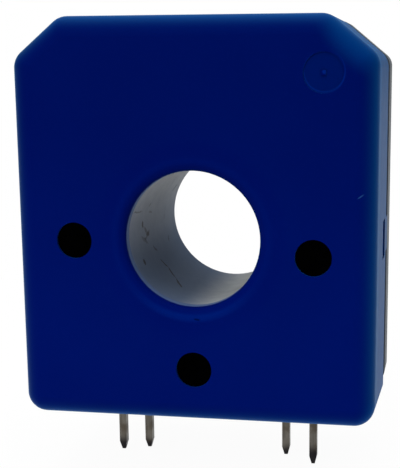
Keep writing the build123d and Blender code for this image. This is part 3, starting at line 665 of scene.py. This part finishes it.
# The groove between the shells is painted dark: painted shade
groove_front, groove_back = 3.8 * mm, 6.35 * mm
outside_tube = (9.4 * mm, 9.6 * mm)
groove_from = grey_nylon.step(tube_y, groove_front, groove_front + 0.2 * mm)
groove_to = grey_nylon.step(tube_y, groove_back, groove_back + 0.1 * mm)
groove_shade = (groove_from - groove_to) * grey_nylon.step(tube_reach, *outside_tube)
grey = grey_nylon.mix(groove_shade, grey, groove_shade_black)
grey_nylon.vary("Base Color", grey_nylon.mix(0.9 * scuffs, grey, scuff_black))
grey_nylon.vary("Roughness", 0.38 + 0.14 * grey_nylon.grain(0.6 * mm))
grey_nylon.bump(grey_nylon.grain(0.12 * mm) - scuffs, 0.015 * mm, 0.6)
grey_nylon.dress("rear_shell")


# Resin. Black epoxy, poured in through the three holes of the face and into the slots round the pins.
# It holds the winding and keeps water out, and it has set with a dull top.
resin_black = (0.0, 0.0, 0.0, 1)
resin_grey = (0.0004, 0.0004, 0.0006, 1)
black_resin = Finish("black_resin", {"Roughness": 0.9, "Specular IOR Level": 0.0})
pour_waves = black_resin.grain(0.8 * mm)
black_resin.vary("Base Color", black_resin.mix(pour_waves, resin_black, resin_grey))
black_resin.bump(pour_waves, 0.1 * mm, 0.5)
black_resin.dress(
    "potting_plug_left", "potting_plug_right", "potting_plug_lower", "pin_seal_left", "pin_seal_right"
)


# Floor. A white sheet of paper under the tips of the pins, which runs on out of sight.
# The camera sees it as plain white, apart from a faint shadow that fades out round the sensor.
floor_height = cad_bounds[0][2]
half_floor = 3.0
floor_mesh = bpy.data.meshes.new("paper_floor")
corners = [(x * half_floor, y * half_floor, floor_height) for x, y in ((-1, -1), (1, -1), (1, 1), (-1, 1))]
floor_mesh.from_pydata(corners, [], [(0, 1, 2, 3)])
paper_floor = bpy.data.objects.new("paper_floor", floor_mesh)
bpy.context.scene.collection.objects.link(paper_floor)
paper_white = (0.8, 0.8, 0.8, 1)
paper = Finish("white_paper", {"Base Color": paper_white, "Roughness": 0.9, "Specular IOR Level": 0.0})
shadow_share = 0.045
shadow_reach = 120 * mm


def seen_directly(nodes):
    """1 for rays from the camera, or from it by way of a glossy or clear surface."""
    rays = nodes.node("ShaderNodeLightPath", {}, {}).socket.node.outputs
    kinds = ("Is Camera Ray", "Is Glossy Ray", "Is Transmission Ray")
    camera_ray, glossy_ray, clear_ray = (Value(nodes, rays[kind]) for kind in kinds)
    return nodes.step(camera_ray + glossy_ray + clear_ray, 0.0, 1.0)


paper_light = paper.node("ShaderNodeEmission", {}, {"Strength": 1.0})
lit_paper = Value(paper, paper.shader.outputs[0])
near = paper.mark((0.0, 0.0, floor_height), (shadow_reach, shadow_reach, shadow_reach), soft=0.6)
paper_share = seen_directly(paper) * (1 - shadow_share * near)
shown_paper = paper.node("ShaderNodeMixShader", {}, {0: paper_share, 1: lit_paper, 2: paper_light})
paper.tree.links.new(shown_paper.socket, paper.tree.nodes["Material Output"].inputs["Surface"])
floor_mesh.materials.append(paper.material)


# Light. A white room with a bright ceiling and dimmer walls, which the camera sees as plain white.
# Two soft boxes stand in it, one above the sensor and one in front of it to the left.
world = bpy.data.worlds.new("white_room")
bpy.context.scene.world = world
world.use_nodes = True
room = Nodes(world.node_tree)
room_x, room_y, room_z = room.parts(room.node("ShaderNodeTexCoord", {}, {}, "Generated"))


def wall_pair(toward, low_wall, high_wall):
    """Light from the two walls across one axis, blended where they meet."""
    share = room.step(toward, -wall_blend, wall_blend)
    return toward * toward * (low_wall + (high_wall - low_wall) * share)


wall_blend = 0.3
left_wall, right_wall = 0.25, 0.2
front_wall, back_wall = 0.15, 0.5
ground, ceiling = 0.7, 1.35
room_light = (
    wall_pair(room_x, left_wall, right_wall)
    + wall_pair(room_y, front_wall, back_wall)
    + wall_pair(room_z, ground, ceiling)
)
room_rays = room.node("ShaderNodeLightPath", {}, {}, "Is Camera Ray")
backdrop = room_light + room_rays * (1 - room_light)
room.tree.links.new(backdrop.socket, room.tree.nodes["Background"].inputs["Strength"])
room.tree.nodes["Background"].inputs["Color"].default_value = (1, 1, 1, 1)


def soft_box(name, place, aim, width, height, power):
    """Rectangular lamp at a place, turned towards a point."""
    lamp = bpy.data.lights.new(name, "AREA")
    lamp.shape = "RECTANGLE"
    lamp.size = width
    lamp.size_y = height
    lamp.energy = power
    holder = bpy.data.objects.new(name, lamp)
    bpy.context.scene.collection.objects.link(holder)
    holder.location = place
    holder.rotation_euler = (Vector(aim) - Vector(place)).to_track_quat("-Z", "Y").to_euler()


centre = Vector((0, 0, 20 * mm))
soft_box("top_box", (0.0, -0.08, 0.35), centre, width=0.3, height=0.25, power=0.6)
soft_box("front_box", (-0.12, -0.42, 0.2), centre, width=0.22, height=0.22, power=1.35)


# Camera. It stands a little to the right of the aperture and above it, and looks down and to the left.
# Its lens is shifted, so that the sensor stands in the middle of the picture.
camera = bpy.data.cameras.new("camera")
camera.sensor_width = 36.0
camera.lens = 82.31
camera.shift_x = -0.139
camera.shift_y = 0.0893
camera.clip_start = 0.005
camera.clip_end = 10.0
camera.dof.use_dof = False
camera_place = Vector((24.57 * mm, -111.131 * mm, 34.156 * mm))
camera_aim = Vector((7.326 * mm, -11.0 * mm, 15.237 * mm))
camera_roll = math.radians(0.167)
camera_object = bpy.data.objects.new("camera", camera)
bpy.context.scene.collection.objects.link(camera_object)
look = (camera_aim - camera_place).to_track_quat("-Z", "Y").to_matrix()
look = look @ Matrix.Rotation(-camera_roll, 3, "Z")
camera_object.matrix_world = Matrix.Translation(camera_place) @ look.to_4x4()
bpy.context.scene.camera = camera_object

bpy.context.scene.view_settings.view_transform = "Standard"
